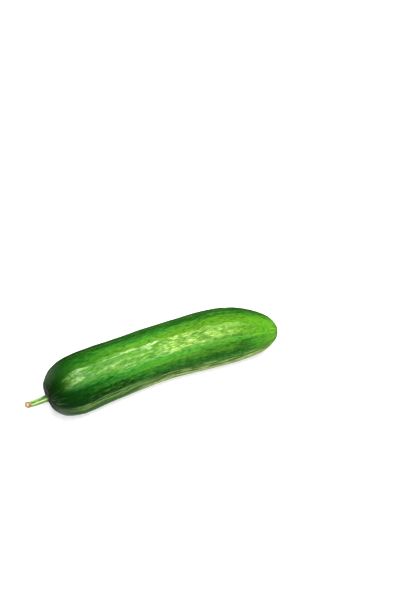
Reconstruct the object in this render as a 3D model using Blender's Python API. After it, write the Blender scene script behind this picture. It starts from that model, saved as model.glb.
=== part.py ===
"""A whole mini cucumber with its cut stem, lying on its side.

+X points to the blossom end, -X to the stem, +Y to the outside of the fruit's bow and +Z up. The
origin is under the middle of the bounding box, on the surface that the cucumber lies on. Lengths
are in metres, and a station is a share of the fruit's length, 0 at the stem and 1 at the blossom.
"""
import math
from collections import namedtuple

import bmesh
import bpy
import numpy as np
from mathutils import Vector

# Fruit: length, girth and bow
FRUIT_LENGTH = 0.1400
BODY_RADIUS = 0.0170
SHOULDER_SWELL = 0.0006          # fuller at the two shoulders and slimmer at the waist by this much
SHOULDER_STATION = 0.10          # the fullest station at the stem end
SHOULDER_SPACING = 0.75          # from that shoulder to the one at the blossom end
BOW = 0.0085                     # how far the middle of the fruit stands out to +Y
BOW_LEAN = 0.0026                # puts the crest of the bow nearer the blossom end

# Fruit: its two rounded ends are superellipses, blunt at the stem and longer at the blossom
STEM_END_LENGTH = 0.0242
STEM_END_POWER = 2.6
BLOSSOM_END_LENGTH = 0.0500
BLOSSOM_END_POWER = 2.4

# Fruit: relief of the skin, made of waves that repeat round the fruit and along it
Wave = namedtuple("Wave", "height around along phase")
SEED_LOBES = Wave(0.00030, 3, 0.08, 0.4)       # one lobe for each seed chamber
MAIN_RIBS = Wave(0.00020, 11, 0.0, 0.0)
SIDE_RIBS = Wave(0.00010, 7, 0.0, 1.1)         # fainter, so that the ribs are uneven
SKIN_SWELL = Wave(0.00014, 1, 3.3, 1.7)        # slow rise and fall of the skin
RIB_STRAY = Wave(0.05, 0, 1.2, -1.0)           # radians by which the ribs stray from a straight line
RIB_STRENGTH = Wave(0.35, 2, 2.1, 0.0)         # share by which the ribs grow and fade on their way
RELIEF_FADE = 0.0080                           # the relief dies out this near to each pole

# Fruit: the pit that the stem stands in, and the low nub and scar that the blossom left
STEM_PIT_DEPTH = 0.0013
STEM_PIT_RADIUS = 0.0046
NUB_HEIGHT = 0.0006
NUB_RADIUS = 0.0042
SCAR_DEPTH = 0.00025
SCAR_RADIUS = 0.0013
FIRM_EDGE = 4                    # a high power gives a pit a flat floor and a firm edge
SOFT_EDGE = 2                    # a low one gives a nub a round top and a soft foot
FLAT_DEPTH = 0.00035             # pressed off the underside where the fruit rests
FLAT_SNAP = 0.00006              # skin this near the level of the flat spot is drawn onto it

# Fruit: fineness of the solid
SIDES = 66
RINGS = 66
PROFILE_STEPS = 4000
POLE_CLOSENESS = 3.0             # how much closer together the rings are at the poles
POLE_REACH = 0.0060
HEADING_STEP = 0.001             # stations over which the axis's direction is taken

# Stem
STEM_LENGTH = 0.0131             # from the pit's floor to the middle of the cut
STEM_RADIUS = 0.00196
STEM_FLARE = 0.22                # extra radius at the root, as a share
STEM_FLARE_LENGTH = 0.0014
STEM_TAPER = 0.06                # radius lost towards the cut, as a share
STEM_RIDGES = 5
STEM_RIDGE_HEIGHT = 0.09         # as a share of the radius
STEM_SIDES = 30
STEM_STATIONS = 14
STEM_ROOT_CLOSENESS = 1.3        # above 1, the stations are closer together at the root
STEM_LIFT = 0.0029               # how far the stem curves upwards by its end
STEM_SWING = 0.0004              # and sideways, to -Y
STEM_SPARE = 0.0032              # left beyond the middle of the cut, for the slanting cut to take off
STEM_GAP = 0.00042               # between the stem's root and the pit's floor

# The slanting cut: its face looks along the stem, turned upwards and to -Y
CUT_RISE = 0.50
CUT_TURN = 0.34
CUT_TANGENT_SHARE = 0.9          # the stem's direction at the cut is taken over its last tenth

# Both pieces
ON_PLANE = 0.000005              # a point this near a cutting plane counts as on it
WELD = 0.00001
SHARP_ANGLE = math.radians(40.0)

# Colours as linear light
SKIN_GREEN = (0.035, 0.185, 0.020, 1.0)
SKIN_ROUGHNESS = 0.32
STEM_GREEN = (0.265, 0.440, 0.105, 1.0)
STEM_ROUGHNESS = 0.55


def clear_scene():
    for item in list(bpy.data.objects):
        bpy.data.objects.remove(item, do_unlink=True)


def plain_material(name, colour, roughness):
    material = bpy.data.materials.new(name)
    material.use_nodes = True
    shader = material.node_tree.nodes["Principled BSDF"]
    shader.inputs["Base Color"].default_value = colour
    shader.inputs["Roughness"].default_value = roughness
    shader.inputs["Metallic"].default_value = 0.0
    material.diffuse_color = colour
    return material


def body_radius(station):
    """Radius of the body before its ends are rounded off."""
    turn = 2.0 * math.pi * (station - SHOULDER_STATION) / SHOULDER_SPACING
    return BODY_RADIUS + SHOULDER_SWELL * np.cos(turn)


def rounded_end(distance, length, power):
    """Share of the body's radius at a distance from the pole of a superellipse end."""
    inward = np.clip(1.0 - distance / length, 0.0, 1.0)
    return (1.0 - inward ** power) ** (1.0 / power)


def skin_radius(station):
    stem_end = rounded_end(station * FRUIT_LENGTH, STEM_END_LENGTH, STEM_END_POWER)
    blossom_end = rounded_end((1.0 - station) * FRUIT_LENGTH, BLOSSOM_END_LENGTH, BLOSSOM_END_POWER)
    return body_radius(station) * stem_end * blossom_end


def bow_offset(station):
    return 4.0 * station * (1.0 - station) * (BOW + BOW_LEAN * (2.0 * station - 1.0))


def centre(station):
    """Point of the fruit's axis. The underside is level, so the axis is as high as the body is wide."""
    return Vector((FRUIT_LENGTH * (station - 0.5), bow_offset(station), body_radius(station)))


def heading(station):
    """Direction of the fruit's axis in plan, towards the blossom end."""
    rise = bow_offset(station + HEADING_STEP) - bow_offset(station - HEADING_STEP)
    slope = rise / (2.0 * HEADING_STEP * FRUIT_LENGTH)
    return Vector((1.0, slope, 0.0)).normalized()


def ring_stations():
    """Stations of the rings: evenly spaced over the skin, and closer together round the poles."""
    fine = 0.5 - 0.5 * np.cos(np.linspace(0.0, math.pi, PROFILE_STEPS))
    radius = skin_radius(fine)
    steps = np.hypot(np.diff(fine) * FRUIT_LENGTH, np.diff(radius))
    along = np.concatenate(([0.0], np.cumsum(steps)))
    middle = 0.5 * (along[1:] + along[:-1])
    near_pole = np.exp(-(middle / POLE_REACH) ** 2) + np.exp(-((along[-1] - middle) / POLE_REACH) ** 2)
    weighted = np.concatenate(([0.0], np.cumsum(steps * (1.0 + POLE_CLOSENESS * near_pole))))
    return np.interp(np.linspace(0.0, weighted[-1], RINGS + 1), weighted, fine)


def ripple(wave, station, angle):
    phase = wave.around * angle + 2.0 * math.pi * wave.along * station + wave.phase
    return wave.height * math.cos(phase)


def relief(station, angle, radius):
    """Height of the lobes, ribs and swells over the round section."""
    stray = ripple(RIB_STRAY, station, angle)
    strength = 1.0 + ripple(RIB_STRENGTH, station, angle)
    ribs = ripple(MAIN_RIBS, station, angle + stray) + ripple(SIDE_RIBS, station, angle - stray)
    fade = 1.0 - math.exp(-(radius / RELIEF_FADE) ** 2)
    return fade * (ripple(SEED_LOBES, station, angle) + strength * ribs + ripple(SKIN_SWELL, station, angle))


def round_push(radius, height, width, edge):
    """How far a round nub or pit pushes the skin, at a distance from its middle."""
    return height * math.exp(-(radius / width) ** edge)


def skin_point(station, angle):
    radius = float(skin_radius(station))
    forward = heading(station)
    sideways = Vector((-forward.y, forward.x, 0.0))
    outward = sideways * math.cos(angle) + Vector((0.0, 0.0, 1.0)) * math.sin(angle)
    if station < 0.5:
        push = round_push(radius, STEM_PIT_DEPTH, STEM_PIT_RADIUS, FIRM_EDGE)
    else:
        push = round_push(radius, NUB_HEIGHT, NUB_RADIUS, SOFT_EDGE)
        push -= round_push(radius, SCAR_DEPTH, SCAR_RADIUS, FIRM_EDGE)
    return centre(station) + outward * (radius + relief(station, angle, radius)) + forward * push


def cut_off(mesh_data, point, facing):
    """Cut off what lies beyond a plane and close the body with one flat face."""
    everything = mesh_data.verts[:] + mesh_data.edges[:] + mesh_data.faces[:]
    cut = bmesh.ops.bisect_plane(mesh_data, geom=everything, dist=ON_PLANE, plane_co=point,
                                 plane_no=facing, clear_outer=True)
    rim = [item for item in cut["geom_cut"] if isinstance(item, bmesh.types.BMEdge)]
    bmesh.ops.contextual_create(mesh_data, geom=rim)


def press_flat(mesh_data):
    """Take the underside off level, as a small flat spot to rest on."""
    level = min(vertex.co.z for vertex in mesh_data.verts) + FLAT_DEPTH
    for vertex in mesh_data.verts:
        if abs(vertex.co.z - level) < FLAT_SNAP:
            vertex.co.z = level
    cut_off(mesh_data, Vector((0.0, 0.0, level)), Vector((0.0, 0.0, -1.0)))


def make_fruit(collection):
    """The fruit: a sphere whose rings are drawn out along the bowed axis."""
    stations = ring_stations()
    mesh_data = bmesh.new()
    bmesh.ops.create_uvsphere(mesh_data, u_segments=SIDES, v_segments=RINGS, radius=1.0)
    for vertex in mesh_data.verts:
        polar = math.acos(max(-1.0, min(1.0, vertex.co.z)))
        ring = round(RINGS * polar / math.pi)
        vertex.co = skin_point(float(stations[ring]), math.atan2(vertex.co.y, vertex.co.x))
    press_flat(mesh_data)
    bmesh.ops.recalc_face_normals(mesh_data, faces=mesh_data.faces)

    mesh = bpy.data.meshes.new("fruit")
    mesh_data.to_mesh(mesh)
    mesh_data.free()
    mesh.shade_smooth()
    mesh.set_sharp_from_angle(angle=SHARP_ANGLE)
    fruit = bpy.data.objects.new("fruit", mesh)
    fruit.data.materials.append(plain_material("cucumber skin", SKIN_GREEN, SKIN_ROUGHNESS))
    collection.objects.link(fruit)
    return fruit


def ridged_outline():
    """The stem's five-ridged cross-section, of radius 1, as a closed curve."""
    outline = bpy.data.curves.new("stem outline", "CURVE")
    outline.dimensions = "2D"
    spline = outline.splines.new("POLY")
    spline.points.add(STEM_SIDES - 1)
    for index, point in enumerate(spline.points):
        angle = 2.0 * math.pi * index / STEM_SIDES
        radius = 1.0 + STEM_RIDGE_HEIGHT * math.cos(STEM_RIDGES * angle)
        point.co = (radius * math.cos(angle), radius * math.sin(angle), 0.0, 1.0)
    spline.use_cyclic_u = True
    return bpy.data.objects.new("stem outline", outline)


def stem_point(distance):
    """Point of the stem's axis at a distance from its root, on a slow curve up and to one side."""
    outward = -heading(0.0)
    sideways = Vector((-outward.y, outward.x, 0.0))
    root = centre(0.0) - outward * STEM_PIT_DEPTH + outward * STEM_GAP
    bend = (distance / STEM_LENGTH) ** 2
    return root + outward * distance + Vector((0.0, 0.0, STEM_LIFT * bend)) + sideways * (STEM_SWING * bend)


def stem_radius(distance):
    flare = STEM_FLARE * math.exp(-distance / STEM_FLARE_LENGTH)
    return STEM_RADIUS * (1.0 + flare - STEM_TAPER * distance / STEM_LENGTH)


def make_stem(collection):
    """The stem: a ridged rod that flares at its root and ends in a slanting cut."""
    outline = ridged_outline()
    collection.objects.link(outline)
    path = bpy.data.curves.new("stem path", "CURVE")
    path.dimensions = "3D"
    path.bevel_mode = "OBJECT"
    path.bevel_object = outline
    path.use_fill_caps = True
    spline = path.splines.new("POLY")
    spline.points.add(STEM_STATIONS - 1)
    for index, point in enumerate(spline.points):
        share = index / (STEM_STATIONS - 1)
        distance = (STEM_LENGTH + STEM_SPARE) * share ** STEM_ROOT_CLOSENESS
        point.co = (*stem_point(distance), 1.0)
        point.radius = stem_radius(distance)
    rod = bpy.data.objects.new("stem rod", path)
    collection.objects.link(rod)

    evaluated = rod.evaluated_get(bpy.context.evaluated_depsgraph_get())
    mesh = bpy.data.meshes.new_from_object(evaluated)
    mesh.name = "stem"
    mesh_data = bmesh.new()
    mesh_data.from_mesh(mesh)
    bmesh.ops.remove_doubles(mesh_data, verts=mesh_data.verts, dist=WELD)
    along = (stem_point(STEM_LENGTH) - stem_point(CUT_TANGENT_SHARE * STEM_LENGTH)).normalized()
    facing = along + Vector((0.0, -CUT_TURN, CUT_RISE))
    cut_off(mesh_data, stem_point(STEM_LENGTH), facing.normalized())
    bmesh.ops.recalc_face_normals(mesh_data, faces=mesh_data.faces)
    mesh_data.to_mesh(mesh)
    mesh_data.free()

    stem = bpy.data.objects.new("stem", mesh)
    stem.matrix_world = rod.matrix_world
    stem.data.materials.clear()
    stem.data.materials.append(plain_material("cucumber stem", STEM_GREEN, STEM_ROUGHNESS))
    stem.data.shade_smooth()
    stem.data.set_sharp_from_angle(angle=SHARP_ANGLE)
    collection.objects.link(stem)
    bpy.data.objects.remove(rod, do_unlink=True)
    bpy.data.objects.remove(outline, do_unlink=True)
    return stem


def set_origin_under_middle(pieces):
    """Shift the pieces so that the origin is under the middle of their bounding box."""
    corners = [vertex.co.copy() for piece in pieces for vertex in piece.data.vertices]
    low = Vector([min(corner[axis] for corner in corners) for axis in range(3)])
    high = Vector([max(corner[axis] for corner in corners) for axis in range(3)])
    shift = Vector((-(low.x + high.x) / 2.0, -(low.y + high.y) / 2.0, -low.z))
    for piece in pieces:
        for vertex in piece.data.vertices:
            vertex.co += shift


def build_cucumber():
    clear_scene()
    collection = bpy.data.collections.new("cucumber")
    bpy.context.scene.collection.children.link(collection)
    fruit = make_fruit(collection)
    stem = make_stem(collection)
    set_origin_under_middle([fruit, stem])


build_cucumber()
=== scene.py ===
import math

import bpy
import numpy as np
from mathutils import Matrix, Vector, noise


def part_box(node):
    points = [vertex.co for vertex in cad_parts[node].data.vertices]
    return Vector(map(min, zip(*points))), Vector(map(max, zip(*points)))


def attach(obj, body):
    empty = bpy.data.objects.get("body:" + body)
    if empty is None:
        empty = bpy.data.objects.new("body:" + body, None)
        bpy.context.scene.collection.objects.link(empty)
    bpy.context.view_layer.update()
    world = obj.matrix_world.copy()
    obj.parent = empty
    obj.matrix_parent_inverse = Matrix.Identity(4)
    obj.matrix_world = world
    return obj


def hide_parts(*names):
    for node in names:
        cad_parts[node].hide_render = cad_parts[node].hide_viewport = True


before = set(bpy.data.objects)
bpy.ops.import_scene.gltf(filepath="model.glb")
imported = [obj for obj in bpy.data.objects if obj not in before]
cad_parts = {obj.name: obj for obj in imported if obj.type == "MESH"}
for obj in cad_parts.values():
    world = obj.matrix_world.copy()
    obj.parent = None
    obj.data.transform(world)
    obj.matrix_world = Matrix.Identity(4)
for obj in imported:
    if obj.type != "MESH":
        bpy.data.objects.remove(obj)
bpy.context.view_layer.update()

MM = 0.001

# Camera: where the middle of the picture falls on the floor, and how it is seen
AIM = Vector((44.8 * MM, 40.2 * MM, 0.0))
VIEW_AZIMUTH = math.radians(-19.0)
VIEW_ELEVATION = math.radians(56.0)
VIEW_DISTANCE = 0.998
LENS = 98.6
SENSOR = 36.0
CONTRAST_GAMMA = 0.75

# Light: each tube has its angle in degrees, from the far side over the top, and its power in watts
TUBES = ((72.0, 108.0), (106.5, 125.0), (135.5, 42.0))
TUBE_LEAN = 0.182
TUBE_DISTANCE = 3.0
TUBE_SIZE = (3.0, 0.08)
SKY_STRENGTH = 0.11

# Floor: white to the camera, but to the fruit it is dark and glows only in front
FLOOR_SIZE = 6.0
FLOOR_WHITE = 0.48
FLOOR_GLOW = 0.58
BOUNCE_WHITE = 0.05
FRONT_GLOW = 1.60
GLOW_FADE_DEPTH = (-30.0 * MM, 0.0)
GLOW_FADE_SIDE = (-95.0 * MM, -55.0 * MM)

# Form of the skin: its length runs over both round ends, and its twists are in radians per metre
FRUIT_DETAIL = 2
FRUIT_LENGTH = 140.0 * MM
BODY_RADIUS = 17.0 * MM
SKIN_LENGTH = FRUIT_LENGTH + 2.0 * BODY_RADIUS
RIBS = 11
RIB_HEIGHT = 0.03 * MM
HALF_RIB_HEIGHT = 0.04 * MM
RIB_UNEVENNESS = 1.6
RIB_SWAY = 0.05
RIB_SWAY_RATE = 7.5
RIB_SWAY_START = -1.0
RIB_STRAY = 0.10
RIBS_BEGIN, RIBS_FULL = 0.10, 0.30
DENT_HEIGHT = 0.20 * MM
FOLD_HEIGHT = 0.10 * MM
WRINKLE_HEIGHT = 0.06 * MM
SKIN_SINK = 0.15 * MM
FIBRE_TWIST = 5.0
CROSS_TWIST = -9.0
POLE_CALM = 6.0 * MM
REST_CALM = 0.2 * MM
REST_FADE = 1.0 * MM
SKIN_ROUGHNESS = 0.32
SKIN_GLOSS = 0.16
SKIN_SPECULAR = 0.09
PEBBLE_HEIGHT = 0.08 * MM

# Form of the stem: each step of the cut has its width as a share, and how far it is pushed in
STEM_DETAIL = 2
STEM_RIDGES = 5
STEM_RADIUS = 2.0 * MM
RIDGE_HEIGHT = 0.10 * MM
STEM_FIBRE_HEIGHT = 0.10 * MM
STEM_SINK = 0.12 * MM
STEM_ROUGHNESS = 0.42
STEM_SPECULAR = 0.30
FLECK_HEIGHT = 0.10 * MM
SHAFT_BEGIN, SHAFT_END = 2.0 * MM, 9.0 * MM
CUT_END = 4.0 * MM
CUT_OUTWARD = 0.4
CUT_FLATNESS = 0.995
CUT_RADIUS = 2.4 * MM
CUT_DEPTH = 0.75 * MM
CUT_FADE = 0.35 * MM
CUT_STEPS = (
    (1.02, -0.08 * MM),
    (0.84, -0.02 * MM),
    (0.84, 0.20 * MM),
    (0.62, 0.02 * MM),
    (0.45, -0.12 * MM),
)

# Copying a solid's form, and finding the fruit's axis in it
AXIS_STEPS = 6
END_SHARE = 0.25
WELD = 0.001 * MM
PAIRED_BEND = math.radians(60.0)
PAIRED_SKEW = math.radians(70.0)


def colour(red, green, blue):
    return (red, green, blue, 1.0)


BLACK = colour(0.0, 0.0, 0.0)
WHITE = colour(1.0, 1.0, 1.0)

# Ground greens of the skin, by how far along it they are
TOP_GREENS = (
    (0.05, colour(0.005, 0.026, 0.002)),
    (0.14, colour(0.012, 0.060, 0.005)),
    (0.24, colour(0.041, 0.156, 0.015)),
    (0.40, colour(0.089, 0.226, 0.022)),
    (0.60, colour(0.105, 0.229, 0.020)),
    (0.80, colour(0.093, 0.220, 0.015)),
    (0.92, colour(0.102, 0.278, 0.025)),
)
SIDE_GREENS = (
    (0.05, colour(0.003, 0.026, 0.003)),
    (0.14, colour(0.007, 0.060, 0.008)),
    (0.24, colour(0.022, 0.150, 0.020)),
    (0.40, colour(0.044, 0.222, 0.034)),
    (0.60, colour(0.052, 0.228, 0.036)),
    (0.80, colour(0.055, 0.215, 0.030)),
    (0.92, colour(0.100, 0.284, 0.027)),
)

# Bands, streaks and flecks of the skin, with painted shade along its far side and a painted lit band along
# its near flank
NEAR_BAND = colour(0.003, 0.046, 0.004)
FAR_SIDE_SHADE = colour(0.012, 0.068, 0.005)
NEAR_FLANK_LIGHT = colour(0.150, 0.345, 0.040)
LIGHT_STREAK = colour(0.171, 0.335, 0.053)
DARK_STREAK = colour(0.012, 0.070, 0.005)
LIGHT_BLOTCH = colour(0.171, 0.317, 0.041)
LIGHT_FLECK = colour(0.150, 0.320, 0.060)
DARK_FLECK = colour(0.008, 0.055, 0.005)

# Underside of the skin: its pale ground is partly its own pale colour and partly a painted reflection of
# the floor, and its pale lines, stripe and whitish rim are painted reflection
UNDERSIDE = colour(0.440, 0.510, 0.255)
UNDERSIDE_REFLECTED_STRIPE = colour(0.240, 0.350, 0.120)
UNDERSIDE_DARK_LINE = colour(0.050, 0.110, 0.012)
UNDERSIDE_REFLECTED_LINE = colour(0.560, 0.620, 0.390)
UNDERSIDE_RIM_REFLECTION = colour(0.620, 0.680, 0.480)
EDGE_DARK_LINE = colour(0.055, 0.130, 0.008)
EDGE_REFLECTED_LINE = colour(0.470, 0.600, 0.250)
EDGE_OLIVE = colour(0.075, 0.140, 0.010)
EDGE_GROOVE = colour(0.040, 0.090, 0.010)

# Painted highlights along the top of the skin, first as they are near the stem and then near the blossom
# end: painted sheen, painted glints and the darker gaps between them
STEM_SHEEN = colour(0.260, 0.420, 0.095)
BLOSSOM_SHEEN = colour(0.290, 0.430, 0.070)
STEM_GLINT = colour(0.420, 0.500, 0.345)
BLOSSOM_GLINT = colour(0.440, 0.530, 0.230)
SHINE_GAP = colour(0.052, 0.160, 0.008)

# Both ends of the skin, with a painted grey reflection, lines lit by painted reflection and painted shade
# in the pit at the stem end
BLOSSOM_THREAD = colour(0.300, 0.460, 0.110)
BLOSSOM_SCAR = colour(0.180, 0.200, 0.030)
STEM_END_GREY_REFLECTION = colour(0.200, 0.250, 0.165)
STEM_RAY_REFLECTION = colour(0.175, 0.220, 0.135)
STEM_PIT_SHADE = colour(0.002, 0.008, 0.001)

# Stem, with painted shade along its upper edge and in the hollow by its root, a painted reflection along
# its lower edge, and the rings of its cut from the middle outwards
STEM_GROOVE = colour(0.059, 0.135, 0.015)
STEM_RIDGE = colour(0.307, 0.426, 0.171)
STEM_FLECK = colour(0.344, 0.435, 0.221)
STEM_UPPER_SHADE = colour(0.045, 0.090, 0.010)
STEM_LOWER_REFLECTION = colour(0.420, 0.520, 0.300)
STEM_ROOT = colour(0.041, 0.098, 0.012)
STEM_HOLLOW_SHADE = colour(0.010, 0.030, 0.003)
STEM_DRY = colour(0.317, 0.231, 0.109)
CUT_RINGS = (
    (0.12, colour(0.720, 0.600, 0.400)),
    (0.36, colour(0.560, 0.420, 0.250)),
    (0.58, colour(0.300, 0.190, 0.105)),
    (0.76, colour(0.420, 0.300, 0.170)),
    (1.00, colour(0.180, 0.105, 0.050)),
)


def deselect_all():
    if bpy.context.object and bpy.context.object.mode != "OBJECT":
        bpy.ops.object.mode_set(mode="OBJECT")
    bpy.ops.object.select_all(action="DESELECT")


def take(piece):
    """Make a piece the only one selected, and the active one."""
    deselect_all()
    piece.select_set(True)
    bpy.context.view_layer.objects.active = piece


def points_of(piece):
    points = np.empty(len(piece.data.vertices) * 3)
    piece.data.vertices.foreach_get("co", points)
    return points.reshape(-1, 3)


def outward_normals(piece):
    normals = np.empty(len(piece.data.vertices) * 3)
    piece.data.vertex_normals.foreach_get("vector", normals)
    return normals.reshape(-1, 3)


def push_out(piece, lift, box):
    """Move each point of a piece outwards by its lift, but never out of the box."""
    low, high = box
    moved = points_of(piece) + outward_normals(piece) * lift[:, None]
    piece.data.vertices.foreach_set("co", np.clip(moved, low, high).ravel())
    piece.data.update()


def store(piece, name, kind, values):
    """Keep a value for each point of a piece, for its finish to read."""
    attribute = piece.data.attributes.new(name, kind, "POINT")
    key = "vector" if kind == "FLOAT_VECTOR" else "value"
    attribute.data.foreach_set(key, np.asarray(values, dtype=np.float32).ravel())


def subdivide_smooth(piece, levels):
    take(piece)
    bpy.ops.object.modifier_add(type="SUBSURF")
    modifier = piece.modifiers[-1]
    modifier.levels = levels
    modifier.render_levels = levels
    bpy.ops.object.modifier_apply(modifier=modifier.name)


def welded_copy(node, name):
    """A piece with the form of a node of the frame, its loose triangles welded and paired into quads."""
    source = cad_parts[node]
    piece = bpy.data.objects.new(name, source.data.copy())
    piece.data.name = name
    piece.data.materials.clear()
    bpy.context.scene.collection.objects.link(piece)
    take(piece)
    bpy.ops.mesh.customdata_custom_splitnormals_clear()
    bpy.ops.object.mode_set(mode="EDIT")
    bpy.ops.mesh.select_all(action="SELECT")
    bpy.ops.mesh.remove_doubles(threshold=WELD)
    bpy.ops.mesh.tris_convert_to_quads(face_threshold=PAIRED_BEND, shape_threshold=PAIRED_SKEW)
    bpy.ops.object.mode_set(mode="OBJECT")
    return piece


def slice_middles(points, trim, count, half_width):
    """Places along a solid, and its middle, sideways and upwards, in a thin slice at each of them.

    What is trimmed off its two ends, and half the width of a slice, are shares of its length.
    """
    start, end = points[:, 0].min(), points[:, 0].max()
    length = end - start
    places = np.linspace(start + trim[0] * length, end - trim[1] * length, count)
    middles = []
    for place in places:
        near = points[np.abs(points[:, 0] - place) < half_width * length]
        middles.append((near[:, 1:].min(axis=0) + near[:, 1:].max(axis=0)) / 2.0)
    return places, np.array(middles)


class FruitAxis:
    """The bowed line through the middle of the fruit, found from the frame's own solid."""

    def __init__(self):
        points = points_of(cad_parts["fruit"])
        places, middles = slice_middles(points, trim=(0.12, 0.20), count=40, half_width=0.02)
        self.start, self.end = points[:, 0].min(), points[:, 0].max()
        self.side = np.polynomial.Polynomial.fit(places, middles[:, 0], deg=3)
        self.height = middles[:, 1].mean()

    def places(self, points):
        """How far along the skin each point is from the stem, its angle round the axis, and its radius."""
        station = points[:, 0].copy()
        slope = self.side.deriv()
        for _ in range(AXIS_STEPS):
            off_side = points[:, 1] - self.side(station)
            turn = slope(station)
            station += ((points[:, 0] - station) + off_side * turn) / (1.0 + turn ** 2)
        turn = slope(station)
        forward = np.stack([np.ones_like(turn), turn], axis=1) / np.sqrt(1.0 + turn ** 2)[:, None]
        off_side = points[:, 1] - self.side(station)
        across = off_side * forward[:, 0] - (points[:, 0] - station) * forward[:, 1]
        up = points[:, 2] - self.height
        radius = np.hypot(across, up)
        middle = (self.start + self.end) / 2.0
        end_side = np.clip((station - middle) / (END_SHARE * (self.end - self.start)), -1.0, 1.0)
        along = (station - self.start) + BODY_RADIUS + end_side * (BODY_RADIUS - radius)
        return along, np.arctan2(up, across), radius


class StemAxis:
    """The curved line through the middle of the stem, found from the frame's own solid."""

    def __init__(self):
        points = points_of(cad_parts["stem"])
        places, middles = slice_middles(points, trim=(0.35, 0.03), count=14, half_width=0.06)
        self.root = points[:, 0].max()
        self.side = np.polynomial.Polynomial.fit(places, middles[:, 0], deg=2)
        self.height = np.polynomial.Polynomial.fit(places, middles[:, 1], deg=2)

    def places(self, points):
        """How far each point is from the root, its angle round the axis, and its radius."""
        across = points[:, 1] - self.side(points[:, 0])
        up = points[:, 2] - self.height(points[:, 0])
        return self.root - points[:, 0], np.arctan2(up, across), np.hypot(across, up)


def unrolled(along, angle, radius):
    """Places as if the piece were a straight, even rod, so that patterns follow its length."""
    return np.stack([along, radius * np.cos(angle), radius * np.sin(angle)], axis=1)


def grain(places, length, width, seed):
    """Smooth noise over a piece whose features are so long along it and so wide across it."""
    scaled = places / (length, width, width) + (seed, 2.0 * seed, 3.0 * seed)
    return np.array([noise.noise(row) for row in scaled.tolist()])


def make_fruit():
    fruit = welded_copy("fruit", "cucumber_fruit")
    subdivide_smooth(fruit, FRUIT_DETAIL)
    points = points_of(fruit)
    along, angle, radius = FruitAxis().places(points)
    skin = unrolled(along, angle, BODY_RADIUS)
    fibre = unrolled(along, angle + FIBRE_TWIST * along, BODY_RADIUS)
    cross = unrolled(along, angle + CROSS_TWIST * along, BODY_RADIUS)

    share = along / SKIN_LENGTH
    strength = 1.0 + RIB_UNEVENNESS * grain(skin, 26.0 * MM, 7.0 * MM, 0.6)
    sway = RIB_SWAY * np.sin(RIB_SWAY_RATE * share + RIB_SWAY_START)
    stray = angle + sway + RIB_STRAY * grain(skin, 30.0 * MM, 9.0 * MM, 2.2)
    crest = np.cos(2.0 * RIBS * stray)
    growth = strength * np.clip((share - RIBS_BEGIN) / (RIBS_FULL - RIBS_BEGIN), 0.0, 1.0)
    ribs = growth * (RIB_HEIGHT * np.cos(RIBS * stray) + HALF_RIB_HEIGHT * crest)
    dents = DENT_HEIGHT * grain(skin, 9.0 * MM, 2.6 * MM, 1.7)
    folds = FOLD_HEIGHT * grain(fibre, 5.0 * MM, 1.3 * MM, 5.3)
    wrinkles = WRINKLE_HEIGHT * grain(cross, 3.4 * MM, 1.2 * MM, 9.1)
    off_rest = np.clip((points[:, 2] - REST_CALM) / REST_FADE, 0.0, 1.0)
    off_poles = 1.0 - np.exp(-(radius / POLE_CALM) ** 2)
    lift = (ribs + dents + folds + wrinkles - SKIN_SINK) * off_rest * off_poles
    push_out(fruit, lift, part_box("fruit"))

    store(fruit, "skin", "FLOAT_VECTOR", skin)
    store(fruit, "fibre", "FLOAT_VECTOR", fibre)
    store(fruit, "cross", "FLOAT_VECTOR", cross)
    store(fruit, "crest", "FLOAT", crest * strength)
    take(fruit)
    bpy.ops.object.shade_smooth()
    fruit.data.materials.append(skin_finish())
    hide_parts("fruit")
    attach(fruit, "root")


def cut_faces(piece):
    """Which faces of the stem belong to its slanting cut, the only flat face at its outer end."""
    count = len(piece.data.polygons)
    normals, centres, areas = np.empty(count * 3), np.empty(count * 3), np.empty(count)
    piece.data.polygons.foreach_get("normal", normals)
    piece.data.polygons.foreach_get("center", centres)
    piece.data.polygons.foreach_get("area", areas)
    normals, centres = normals.reshape(-1, 3), centres.reshape(-1, 3)
    outer = (centres[:, 0] < centres[:, 0].min() + CUT_END) & (normals[:, 0] < -CUT_OUTWARD)
    largest = np.argmax(np.where(outer, areas, 0.0))
    return outer & (normals @ normals[largest] > CUT_FLATNESS)


def select_faces(piece, chosen):
    """In edit mode on a piece, select only the faces that are chosen."""
    take(piece)
    bpy.ops.object.mode_set(mode="EDIT")
    bpy.ops.mesh.select_mode(type="FACE")
    bpy.ops.mesh.select_all(action="DESELECT")
    bpy.ops.object.mode_set(mode="OBJECT")
    piece.data.polygons.foreach_set("select", chosen)
    bpy.ops.object.mode_set(mode="EDIT")


def shape_cut(stem):
    """Give the stem's cut its dry ring and its core, and return the cut's middle and normal."""
    chosen = cut_faces(stem)
    faces = [stem.data.polygons[int(index)] for index in np.flatnonzero(chosen)]
    normal = Vector(faces[0].normal)
    middle = sum((face.center * face.area for face in faces), Vector()) / sum(face.area for face in faces)
    select_faces(stem, chosen)
    bpy.ops.mesh.dissolve_faces()
    for width, push in CUT_STEPS:
        bpy.ops.mesh.extrude_region()
        bpy.ops.transform.resize(value=(width, width, width), center_override=middle)
        bpy.ops.transform.translate(value=normal * -push)
    bpy.ops.object.mode_set(mode="OBJECT")
    return np.array(middle), np.array(normal)


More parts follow.
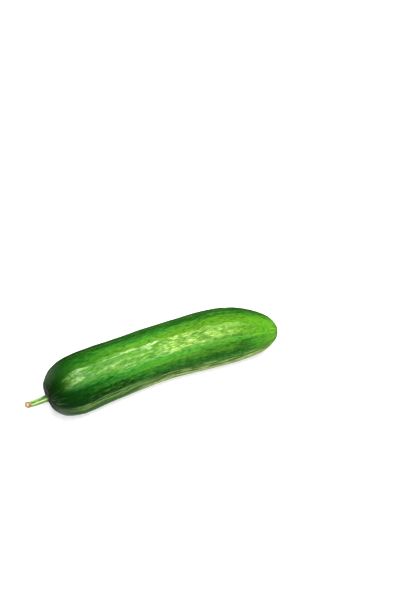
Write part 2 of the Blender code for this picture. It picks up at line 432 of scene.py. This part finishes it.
def make_stem():
    stem = welded_copy("stem", "cucumber_stem")
    middle, normal = shape_cut(stem)
    subdivide_smooth(stem, STEM_DETAIL)
    points = points_of(stem)
    away, angle, radius = StemAxis().places(points)
    rod = unrolled(away, angle, STEM_RADIUS)

    depth = (points @ normal).max() - points @ normal
    on_cut = np.clip((CUT_DEPTH - depth) / CUT_FADE, 0.0, 1.0)
    shaft = (away > SHAFT_BEGIN) & (away < SHAFT_END)
    turn = np.mean(radius[shaft] * np.exp(-1j * STEM_RIDGES * angle[shaft]))
    ridge = np.cos(STEM_RIDGES * angle + np.angle(turn))
    fibres = grain(rod, 9.0 * MM, 0.55 * MM, 3.1)
    lift = (RIDGE_HEIGHT * ridge + STEM_FIBRE_HEIGHT * fibres - STEM_SINK) * (1.0 - on_cut)
    push_out(stem, lift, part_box("stem"))

    store(stem, "rod", "FLOAT_VECTOR", rod)
    store(stem, "ridge", "FLOAT", ridge + 1.2 * fibres)
    store(stem, "cut", "FLOAT", on_cut)
    store(stem, "reach", "FLOAT", np.linalg.norm(points_of(stem) - middle, axis=1))
    take(stem)
    bpy.ops.object.shade_smooth()
    stem.data.materials.append(stem_finish())
    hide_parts("stem")
    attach(stem, "root")


class Value:
    """A number in a material that can stand in sums: each operation adds its Math node."""

    def __init__(self, finish, socket):
        self.finish = finish
        self.socket = socket

    def math(self, operation, *others):
        node = self.finish.tree.nodes.new("ShaderNodeMath")
        node.operation = operation
        for place, item in enumerate((self, *others)):
            self.finish.join(item, node.inputs[place])
        return Value(self.finish, node.outputs[0])

    def __add__(self, other):
        return self.math("ADD", other)

    def __radd__(self, other):
        return self.math("ADD", other)

    def __sub__(self, other):
        return self.math("SUBTRACT", other)

    def __rsub__(self, other):
        return self.finish.number(other).math("SUBTRACT", self)

    def __mul__(self, other):
        return self.math("MULTIPLY", other)

    def __rmul__(self, other):
        return self.math("MULTIPLY", other)

    def __truediv__(self, other):
        return self.math("DIVIDE", other)

    def between(self, low, high):
        """0 below low, 1 above high and a smooth step from one to the other."""
        return self.finish.node("ShaderNodeMapRange", {"interpolation_type": "SMOOTHSTEP"}, "Result",
                                {"Value": self, "From Min": low, "From Max": high})


class Finish:
    """A material that is being made up from nodes."""

    def __init__(self, name):
        self.material = bpy.data.materials.new(name)
        self.material.use_nodes = True
        self.tree = self.material.node_tree
        self.shader = self.tree.nodes["Principled BSDF"]

    def join(self, item, socket):
        if isinstance(item, Value):
            self.tree.links.new(item.socket, socket)
        else:
            socket.default_value = item

    def number(self, value):
        node = self.tree.nodes.new("ShaderNodeValue")
        node.outputs[0].default_value = value
        return Value(self, node.outputs[0])

    def node(self, kind, settings, output, sockets):
        """Add a node: its settings first, then the values or links of its sockets."""
        node = self.tree.nodes.new(kind)
        for key, value in settings.items():
            setattr(node, key, value)
        for key, item in sockets.items():
            self.join(item, node.inputs[key])
        return Value(self, node.outputs[output])

    def stored(self, name, output="Fac"):
        return self.node("ShaderNodeAttribute", {"attribute_name": name}, output, {})

    def parts(self, vector):
        node = self.tree.nodes.new("ShaderNodeSeparateXYZ")
        self.join(vector, node.inputs[0])
        return [Value(self, output) for output in node.outputs]

    def noise(self, vector, length, width, detail=2.0, offset=0.0):
        """Noise about 0.5 whose features are so long along the first axis and so wide across it."""
        scale = (1.0 / length, 1.0 / width, 1.0 / width)
        scaled = self.node("ShaderNodeVectorMath", {"operation": "MULTIPLY"}, "Vector",
                           {0: vector, 1: scale})
        shifted = self.node("ShaderNodeVectorMath", {"operation": "ADD"}, "Vector",
                            {0: scaled, 1: (offset, offset, offset)})
        return self.node("ShaderNodeTexNoise", {}, "Fac",
                         {"Vector": shifted, "Scale": 1.0, "Detail": detail})

    def mix(self, factor, first, second):
        """From the first colour to the second as the factor goes from 0 to 1."""
        return self.node("ShaderNodeMix", {"data_type": "RGBA"}, 2, {0: factor, 6: first, 7: second})

    def ramp(self, factor, stops):
        node = self.tree.nodes.new("ShaderNodeValToRGB")
        elements = node.color_ramp.elements
        while len(elements) < len(stops):
            elements.new(0.5)
        for element, (place, shade) in zip(elements, stops):
            element.position = place
            element.color = shade
        self.join(factor, node.inputs[0])
        return Value(self, node.outputs["Color"])

    def bump(self, height, distance):
        return self.node("ShaderNodeBump", {}, "Normal", {"Height": height, "Distance": distance})

    def set(self, **values):
        for name, item in values.items():
            self.join(item, self.shader.inputs[name.replace("_", " ")])


class Layers:
    """A colour that is built up in layers, each one laid over those before it."""

    def __init__(self, finish, first):
        self.finish = finish
        self.tone = first

    def lay(self, cover, shade):
        """Lay a colour on, where cover is 0 for none of it and 1 for nothing else."""
        self.tone = self.finish.mix(cover, self.tone, shade)


class Round:
    """Where a place is on a long, round piece: how far along it, and which way it faces."""

    def __init__(self, finish, stored_places, radius):
        self.finish = finish
        self.places = finish.stored(stored_places, "Vector")
        self.along, across, up = finish.parts(self.places)
        self.across = across / radius
        self.up = up / radius

    def facing(self, degrees):
        """1 at an angle round the piece: 0 is its far side, 90 its top and 180 its near side."""
        turn = math.radians(degrees)
        return self.across * math.cos(turn) + self.up * math.sin(turn)

    def band(self, degrees, low, high, stray=0.0):
        """A band that runs along the piece at an angle: 0 where facing is below low, 1 above high."""
        return (self.facing(degrees) + stray).between(low, high)


class Skin(Round):
    """Places on the fruit's skin, and the patterns that its colours are made from."""

    def __init__(self, finish):
        super().__init__(finish, "skin", BODY_RADIUS)
        self.share = self.along / SKIN_LENGTH
        fibre = finish.stored("fibre", "Vector")
        cross = finish.stored("cross", "Vector")
        crest = finish.stored("crest")
        self.wander = (finish.noise(self.places, 30.0 * MM, 9.0 * MM, offset=3.0) - 0.5) * 0.25
        self.streaks = finish.noise(self.places, 28.0 * MM, 1.3 * MM, detail=3.0)
        self.blotches = finish.noise(self.places, 9.0 * MM, 3.0 * MM, offset=7.0)
        self.scores = finish.noise(self.places, 15.0 * MM, 1.3 * MM, offset=97.0)
        self.pebbles = finish.noise(self.places, 1.6 * MM, 0.9 * MM, offset=11.0)
        self.rows = finish.noise(self.places, 17.0 * MM, 2.2 * MM, offset=43.0) + crest * 0.04
        self.clumps = finish.noise(self.places, 8.5 * MM, 2.9 * MM, offset=41.0) + crest * 0.02
        self.lines = finish.noise(fibre, 13.0 * MM, 0.9 * MM, offset=83.0)
        self.mottle = finish.noise(fibre, 2.6 * MM, 0.75 * MM, offset=67.0)
        self.strands = finish.noise(fibre, 2.8 * MM, 0.70 * MM, detail=3.0, offset=31.0)
        hairs = finish.noise(cross, 2.2 * MM, 0.50 * MM, offset=53.0)
        halfway = self.after(0.30, 0.50)
        self.glossy_patches = (self.rows * (1.0 - halfway) + self.clumps * halfway).between(0.44, 0.58)
        self.glossy_strands = (self.strands * 0.55 + hairs * 0.45).between(0.455, 0.545)

    def after(self, start, full):
        """0 from the stem up to one share of the skin's length, and 1 beyond another."""
        return self.share.between(start, full)

    def before(self, full, end):
        """1 from the stem up to one share of the skin's length, and 0 beyond another."""
        return 1.0 - self.share.between(full, end)

    def stretch(self, start, full, fading, end):
        """1 on one stretch of the skin's length, and 0 before and beyond it."""
        return self.after(start, full) * self.before(fading, end)


def ground_greens(skin):
    """Dark green at the stem to lime at the blossom end, yellower along the top than on the sides."""
    finish = skin.finish
    top = skin.band(104.0, 0.86, 0.97, skin.wander * 0.5)
    return finish.mix(top, finish.ramp(skin.share, SIDE_GREENS), finish.ramp(skin.share, TOP_GREENS))


def lay_bands(skin, layers):
    """A dark band along the near side, painted shade along the far side, and a painted lit band along the
    near flank.
    """
    stemward = skin.before(0.16, 0.40)
    frayed = skin.wander * 0.25 + (skin.strands - 0.5) * 0.05
    stem_part = skin.band(161.0, 0.962, 0.990, frayed) * skin.before(0.34, 0.46)
    waist_part = skin.band(166.0, 0.930, 0.985, frayed) * skin.stretch(0.34, 0.46, 0.60, 0.68)
    blossom_part = skin.band(151.0, 0.950, 0.990, frayed) * skin.stretch(0.60, 0.68, 0.77, 0.86)
    shoulder_part = skin.band(150.0, 0.90, 0.975, skin.wander * 0.25) * stemward
    low_part = skin.band(178.0, 0.972, 0.993) * skin.stretch(0.38, 0.46, 0.56, 0.64)
    near = stem_part * 0.88 + waist_part * 0.52 + blossom_part * 0.74 + shoulder_part * 0.8
    near = near.math("MAXIMUM", low_part * 0.72)
    layers.lay(near.math("MINIMUM", 0.96), NEAR_BAND)

    # Painted shade along the far side, deeper in the stem half
    far_shade = skin.band(42.0, 0.72, 0.97, skin.wander) * skin.before(0.88, 1.0)
    layers.lay(far_shade * (stemward * 0.22 + 0.7), FAR_SIDE_SHADE)

    # A painted lit band along the near flank: lighter green that stands in for light falling there
    flank_light = skin.band(144.0, 0.960, 0.995) * skin.stretch(0.30, 0.50, 0.74, 0.84)
    layers.lay(flank_light * 0.42, NEAR_FLANK_LIGHT)


def lay_underside(skin, layers):
    """The pale underside, partly its own colour and partly a painted reflection of the floor, with fine
    lengthwise lines, pale ones of painted reflection, and the pale stripe of painted reflection that leads
    to it.
    """
    shade = skin.band(180.0, 0.955, 0.990) * skin.stretch(0.40, 0.48, 0.58, 0.68)
    ground = skin.band(232.0, 0.53, 0.80, skin.wander * 0.5) * skin.after(0.30, 0.48)
    ground = ground * (1.0 - shade * 0.8) * (1.0 - skin.after(0.935, 0.970) * 0.85)
    # Pale underside: partly its own pale colour, partly a painted reflection of the floor
    layers.lay(ground * 0.92, UNDERSIDE)

    # A pale stripe of painted reflection along the lower side
    stripe = skin.band(176.0, 0.978, 0.997) * skin.stretch(0.10, 0.22, 0.36, 0.46)
    layers.lay(stripe * skin.lines.between(0.36, 0.56) * 0.8, UNDERSIDE_REFLECTED_STRIPE)

    beneath = skin.band(215.0, 0.75, 0.88)
    dark = (1.0 - skin.lines).between(0.50, 0.58) * (0.60 - skin.after(0.52, 0.64) * 0.35)
    # Pale lines of painted reflection on the underside, between dark lines
    pale = skin.lines.between(0.53, 0.62) * (skin.after(0.10, 0.30) * 0.18 + skin.after(0.30, 0.44) * 0.42)
    layers.lay(beneath * dark, UNDERSIDE_DARK_LINE)
    layers.lay(beneath * pale, UNDERSIDE_REFLECTED_LINE)


def lay_lower_edge(skin, layers):
    """Dark scored lines, pale lines of painted reflection between them, and an olive seam where the near
    side turns under.
    """
    length = skin.stretch(0.38, 0.48, 0.86, 0.96)
    edge = skin.band(190.0, 0.930, 0.985) * length
    seam = skin.band(184.0, 0.988, 0.999, skin.wander * 0.03) * length
    layers.lay(edge * skin.scores.between(0.52, 0.58) * 0.55, EDGE_DARK_LINE)
    # Pale lines of painted reflection along the lower edge
    layers.lay(edge * (1.0 - skin.scores).between(0.50, 0.57) * 0.62, EDGE_REFLECTED_LINE)
    layers.lay(seam * skin.scores.between(0.40, 0.50) * 0.60, EDGE_OLIVE)


def lay_streaks(skin, layers):
    """Long streaks and soft blotches all over."""
    body = skin.after(0.14, 0.34)
    layers.lay(skin.streaks.between(0.50, 0.72) * body * 0.25, LIGHT_STREAK)
    layers.lay((1.0 - skin.streaks).between(0.52, 0.75) * 0.35, DARK_STREAK)
    layers.lay(skin.blotches.between(0.55, 0.70) * body * 0.18, LIGHT_BLOTCH)


def painted_shine_zone(skin, late):
    """Where highlights are painted: rows along the skin's top that draw together as they near the blossom
    end.
    """
    early = skin.before(0.18, 0.26)
    crown = skin.facing(104.0) * (1.0 - late - early)
    crown = crown + skin.facing(113.5) * late + skin.facing(110.0) * early
    upper_rows = (crown + skin.wander * 0.3).between(0.942, 0.992)
    lower_row = skin.band(128.5, 0.986, 0.998, skin.wander * 0.2) * skin.stretch(0.31, 0.37, 0.54, 0.64)
    middle_lull = skin.band(111.0, 0.975, 0.996) * skin.after(0.19, 0.25) * 0.55
    near_lull = skin.band(120.0, 0.990, 0.998) * skin.after(0.32, 0.37) * 0.35
    far_lull = skin.band(104.5, 0.994, 0.999) * skin.after(0.16, 0.21) * 0.35
    lull = (middle_lull + near_lull + far_lull) * skin.before(0.40, 0.48)
    limits = (skin.facing(112.0) * (1.0 - late) + skin.facing(114.0) * late).between(0.930, 0.967)
    rows = (upper_rows * (1.0 - lull)).math("MAXIMUM", lower_row * 0.60)
    return rows * limits * skin.stretch(0.12, 0.24, 0.66, 0.84)


def lay_painted_shine(skin, layers, zone, late):
    """A painted yellowish sheen, broken up by darker gaps and by painted glints along the strands of the
    wax.
    """
    finish = skin.finish
    patches, strands = skin.glossy_patches, skin.glossy_strands
    bright = skin.stretch(0.46, 0.58, 0.60, 0.70) * skin.band(114.0, 0.95, 0.99)
    sheen = (skin.clumps * 0.6 + skin.rows * 0.4).between(0.43, 0.60) * zone
    layers.lay(sheen * (bright * 0.36 + 0.40), finish.mix(late, STEM_SHEEN, BLOSSOM_SHEEN))

    gaps = (1.0 - patches * 0.5) * (1.0 - strands) * (zone - bright * 0.15)
    layers.lay(gaps * 0.54, SHINE_GAP)

    cover = patches * (1.0 - late * 0.40) + late * 0.26
    glints = cover * (strands * 0.9 + 0.1) * zone
    strength = bright * 0.30 + 0.70 - skin.after(0.55, 0.63) * 0.16
    layers.lay(glints * strength, finish.mix(late, STEM_GLINT, BLOSSOM_GLINT))


def lay_flecks(skin, layers, zone):
    """Fine light and dark flecks, the dark ones fewer where highlights are painted."""
    layers.lay(skin.mottle.between(0.50, 0.66) * skin.after(0.10, 0.34) * 0.24, LIGHT_FLECK)
    layers.lay((1.0 - skin.mottle).between(0.50, 0.66) * (0.42 - zone * 0.20), DARK_FLECK)


def lay_blossom_end(skin, layers):
    """A painted whitish reflection along the rim of the underside, pale threads that run to the tip, and
    the scar.
    """
    # Painted whitish reflection of the floor along the underside's rim
    rim_reflection = skin.band(228.0, 0.86, 0.95, skin.wander * 0.3) * skin.after(0.34, 0.50)
    rim_reflection = rim_reflection * (1.0 - skin.after(0.935, 0.970) * 0.9)
    layers.lay(rim_reflection * (skin.lines.between(0.38, 0.52) * 0.5 + 0.35), UNDERSIDE_RIM_REFLECTION)
    layers.lay(skin.streaks.between(0.50, 0.62) * skin.after(0.90, 0.96) * 0.35, BLOSSOM_THREAD)
    layers.lay(skin.after(0.975, 0.995) * 0.6, BLOSSOM_SCAR)


def lay_stem_end(skin, layers):
    """The groove at the lower edge, a painted grey reflection at the edges, lines from the pit that carry
    a painted grey reflection, and painted shade in the pit.
    """
    groove = skin.band(188.5, 0.990, 0.999) * skin.stretch(0.16, 0.24, 0.38, 0.44)
    layers.lay(groove * 0.50, EDGE_GROOVE)
    # Painted grey reflection along the lower and far edges near the stem
    edge_reflection = skin.band(196.0, 0.82, 0.98) * 0.55 + skin.band(54.0, 0.70, 1.00) * 0.22
    edge_reflection = edge_reflection * skin.stretch(0.040, 0.085, 0.09, 0.19)
    layers.lay(edge_reflection * (skin.streaks.between(0.35, 0.60) * 0.5 + 0.5), STEM_END_GREY_REFLECTION)
    # Lines of the skin that run from the pit, lightened by a painted grey reflection on the lower side
    ray_reflection = skin.lines.between(0.54, 0.64) * skin.before(0.08, 0.17) * skin.band(200.0, -0.1, 0.7)
    layers.lay(ray_reflection * 0.60, STEM_RAY_REFLECTION)
    # Painted shade in the pit round the stem
    layers.lay(skin.before(0.025, 0.060) * 0.85, STEM_PIT_SHADE)


def skin_finish():
    """Waxy green skin: dark at the stem, lime at the blossom end, banded and streaked lengthwise, with
    painted highlights, shade and reflections.
    """
    finish = Finish("cucumber_skin")
    skin = Skin(finish)
    layers = Layers(finish, ground_greens(skin))
    lay_bands(skin, layers)
    lay_underside(skin, layers)
    lay_lower_edge(skin, layers)
    lay_streaks(skin, layers)
    late = skin.after(0.46, 0.56)
    zone = painted_shine_zone(skin, late)
    # The shine along the top is painted into the base colour as sheen and glints; the roughness adds only
    # a weak real gloss
    lay_painted_shine(skin, layers, zone, late)
    lay_flecks(skin, layers, zone)
    lay_blossom_end(skin, layers)
    lay_stem_end(skin, layers)

    gloss = skin.glossy_patches * 0.5 + skin.glossy_strands * 0.5
    finish.set(Base_Color=layers.tone, Roughness=SKIN_ROUGHNESS - gloss * SKIN_GLOSS,
               Specular_IOR_Level=SKIN_SPECULAR,
               Normal=finish.bump(skin.pebbles * 0.6 + skin.strands * 0.8, PEBBLE_HEIGHT))
    return finish.material


def stem_finish():
    """Pale ridges and darker grooves, painted shade along the upper edge and in the hollow by the root, a
    painted reflection along the lower edge, and a dry tan ring round the cut.
    """
    finish = Finish("cucumber_stem")
    rod = Round(finish, "rod", STEM_RADIUS)
    away = rod.along / MM
    ridge = finish.stored("ridge")
    flecks = finish.noise(rod.places, 2.2 * MM, 0.5 * MM, detail=3.0)
    layers = Layers(finish, finish.mix(ridge.between(-0.9, 0.9), STEM_GROOVE, STEM_RIDGE))
    layers.lay(flecks.between(0.50, 0.66) * 0.5, STEM_FLECK)
    # Painted shade along the stem's upper edge
    layers.lay(rod.band(48.0, 0.86, 0.99) * 0.75, STEM_UPPER_SHADE)
    # Painted whitish reflection along the stem's lower edge
    layers.lay(rod.band(206.0, 0.80, 0.98) * 0.60, STEM_LOWER_REFLECTION)
    layers.lay(1.0 - away.between(0.4, 2.4), STEM_ROOT)
    # Painted shade in the hollow above the root
    hollow_shade = rod.band(62.0, 0.62, 0.95) * (1.0 - away.between(3.2, 5.0))
    layers.lay(hollow_shade * 0.85, STEM_HOLLOW_SHADE)
    dry = (away + ridge * 0.2 + flecks * 1.2).between(12.2, 13.4)
    layers.lay(dry * 0.8, STEM_DRY)
    layers.lay(finish.stored("cut"), finish.ramp(finish.stored("reach") / CUT_RADIUS, CUT_RINGS))
    finish.set(Base_Color=layers.tone, Roughness=STEM_ROUGHNESS, Specular_IOR_Level=STEM_SPECULAR,
               Normal=finish.bump(flecks, FLECK_HEIGHT))
    return finish.material


def floor_finish():
    """White to the camera, but to the fruit it is dark and glows only in front and past the stem."""
    finish = Finish("pale_floor")
    side, depth, _ = finish.parts(finish.node("ShaderNodeTexCoord", {}, "Object", {}))
    front = 1.0 - depth.between(*GLOW_FADE_DEPTH) * side.between(*GLOW_FADE_SIDE)
    seen = finish.node("ShaderNodeLightPath", {}, "Is Camera Ray", {})
    white = seen * (FLOOR_WHITE - BOUNCE_WHITE) + BOUNCE_WHITE
    glow = seen * FLOOR_GLOW + (1.0 - seen) * front * FRONT_GLOW
    finish.set(Base_Color=finish.mix(white, BLACK, WHITE), Roughness=0.9, Specular_IOR_Level=0.0,
               Emission_Color=finish.mix(glow, BLACK, WHITE), Emission_Strength=1.0)
    return finish.material


def make_floor():
    deselect_all()
    bpy.ops.mesh.primitive_plane_add(size=FLOOR_SIZE, location=(0.0, 0.0, 0.0))
    floor = bpy.context.object
    floor.name = "floor"
    floor.data.materials.append(floor_finish())


def aim(item, target):
    item.rotation_mode = "QUATERNION"
    item.rotation_quaternion = (Vector(target) - item.location).to_track_quat("-Z", "Y")


def make_lights():
    level = math.sqrt(1.0 - TUBE_LEAN ** 2)
    for place, (degrees, power) in enumerate(TUBES):
        turn = math.radians(degrees)
        towards = Vector((TUBE_LEAN, math.cos(turn) * level, math.sin(turn) * level))
        bpy.ops.object.light_add(type="AREA", location=towards * TUBE_DISTANCE)
        tube = bpy.context.object
        tube.name = f"light_tube_{place + 1}"
        tube.data.shape = "RECTANGLE"
        tube.data.size, tube.data.size_y = TUBE_SIZE
        tube.data.energy = power
        aim(tube, (0.0, 0.0, 0.0))


def make_sky():
    world = bpy.data.worlds.new("studio")
    bpy.context.scene.world = world
    world.use_nodes = True
    sky = world.node_tree.nodes["Background"]
    sky.inputs["Color"].default_value = WHITE
    sky.inputs["Strength"].default_value = SKY_STRENGTH


def make_camera():
    level = math.cos(VIEW_ELEVATION)
    side, near = math.sin(VIEW_AZIMUTH) * level, math.cos(VIEW_AZIMUTH) * level
    towards = Vector((side, -near, math.sin(VIEW_ELEVATION)))
    bpy.ops.object.camera_add(location=AIM + towards * VIEW_DISTANCE)
    camera = bpy.context.object
    camera.data.lens = LENS
    camera.data.sensor_width = SENSOR
    aim(camera, AIM)
    bpy.context.scene.camera = camera
    view = bpy.context.scene.view_settings
    view.view_transform = "Standard"
    view.gamma = CONTRAST_GAMMA


make_floor()
make_fruit()
make_stem()
make_lights()
make_sky()
make_camera()
